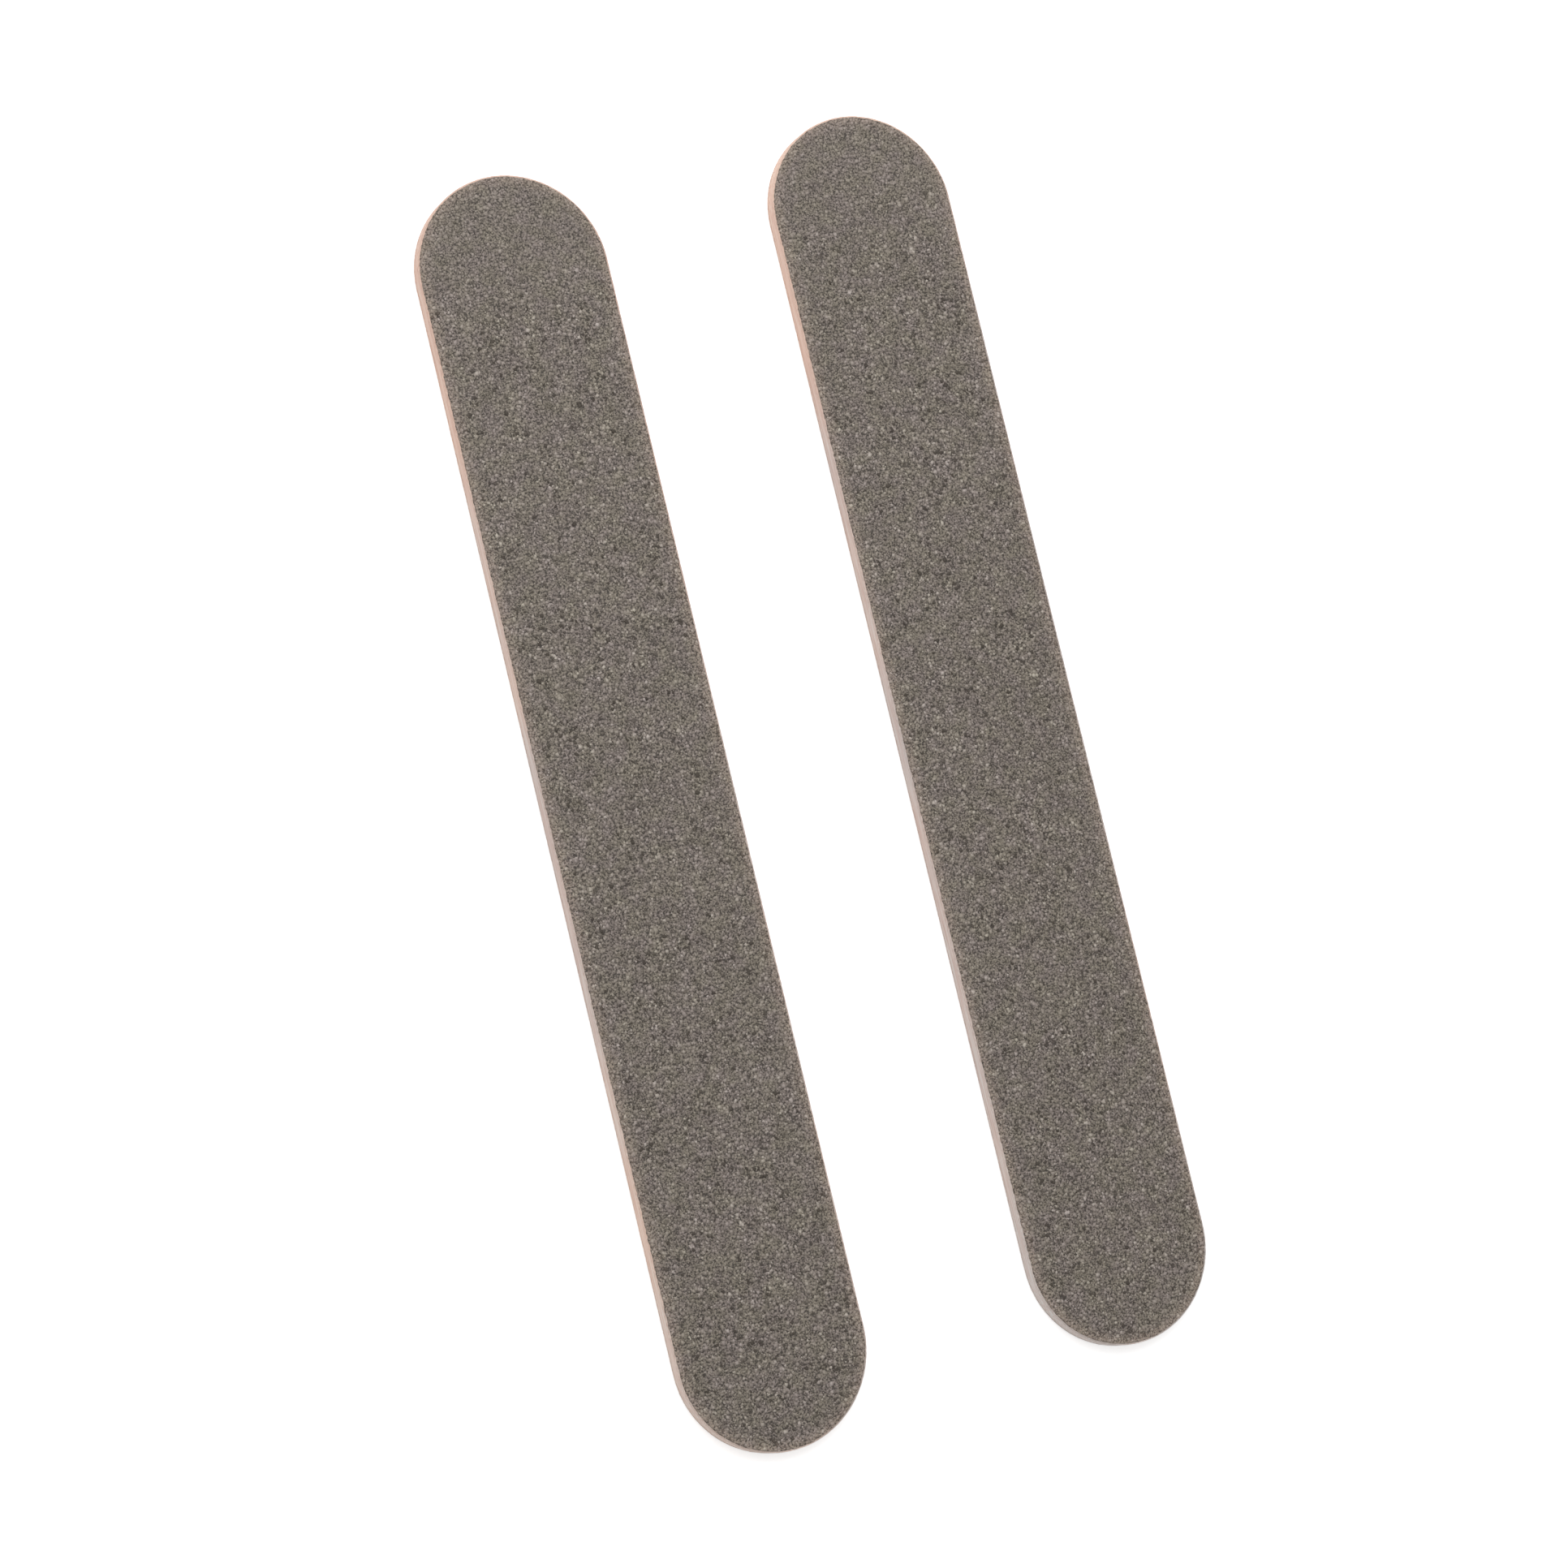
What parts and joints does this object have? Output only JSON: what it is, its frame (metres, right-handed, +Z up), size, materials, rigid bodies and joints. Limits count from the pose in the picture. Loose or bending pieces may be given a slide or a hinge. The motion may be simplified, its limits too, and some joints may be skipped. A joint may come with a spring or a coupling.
{
  "type": "emery board",
  "caption": "Pair of loose emery boards: straight laminated nail files with half-round ends, a pale wooden core and an abrasive coat on both faces.",
  "frame": {"origin": "on the surface that the boards lie on, at the middle of the rectangle that holds them both", "axes": "+Y along the boards, +X from the left board to the right one, +Z up through their thickness, coarse faces up"},
  "size_m": [0.0374, 0.0832, 0.0012],
  "materials": {
    "coarse_grit": "coarse mineral grains bound in a dull warm grey resin",
    "fine_grit": "finer mineral grains bound in a dull warm grey resin",
    "backing_paper": "matt uncoated paper, cut edge",
    "glue": "thin dried adhesive, satin",
    "core": "pale peach wood, die-cut edge, unfinished"
  },
  "bodies": {
    "left_board": {"left_fine_grit": "fine_grit", "left_fine_paper": "backing_paper", "left_fine_glue_film": "glue", "left_core": "core", "left_coarse_glue_film": "glue", "left_coarse_paper": "backing_paper", "left_coarse_grit": "coarse_grit"},
    "right_board": {"right_fine_grit": "fine_grit", "right_fine_paper": "backing_paper", "right_fine_glue_film": "glue", "right_core": "core", "right_coarse_glue_film": "glue", "right_coarse_paper": "backing_paper", "right_coarse_grit": "coarse_grit"}
  },
  "joints": [
    {"name": "right_board_lift", "type": "slide", "parent": "left_board", "child": "right_board", "axis": [0, 0, 1], "range_m": [0, 0.03]}
  ]
}
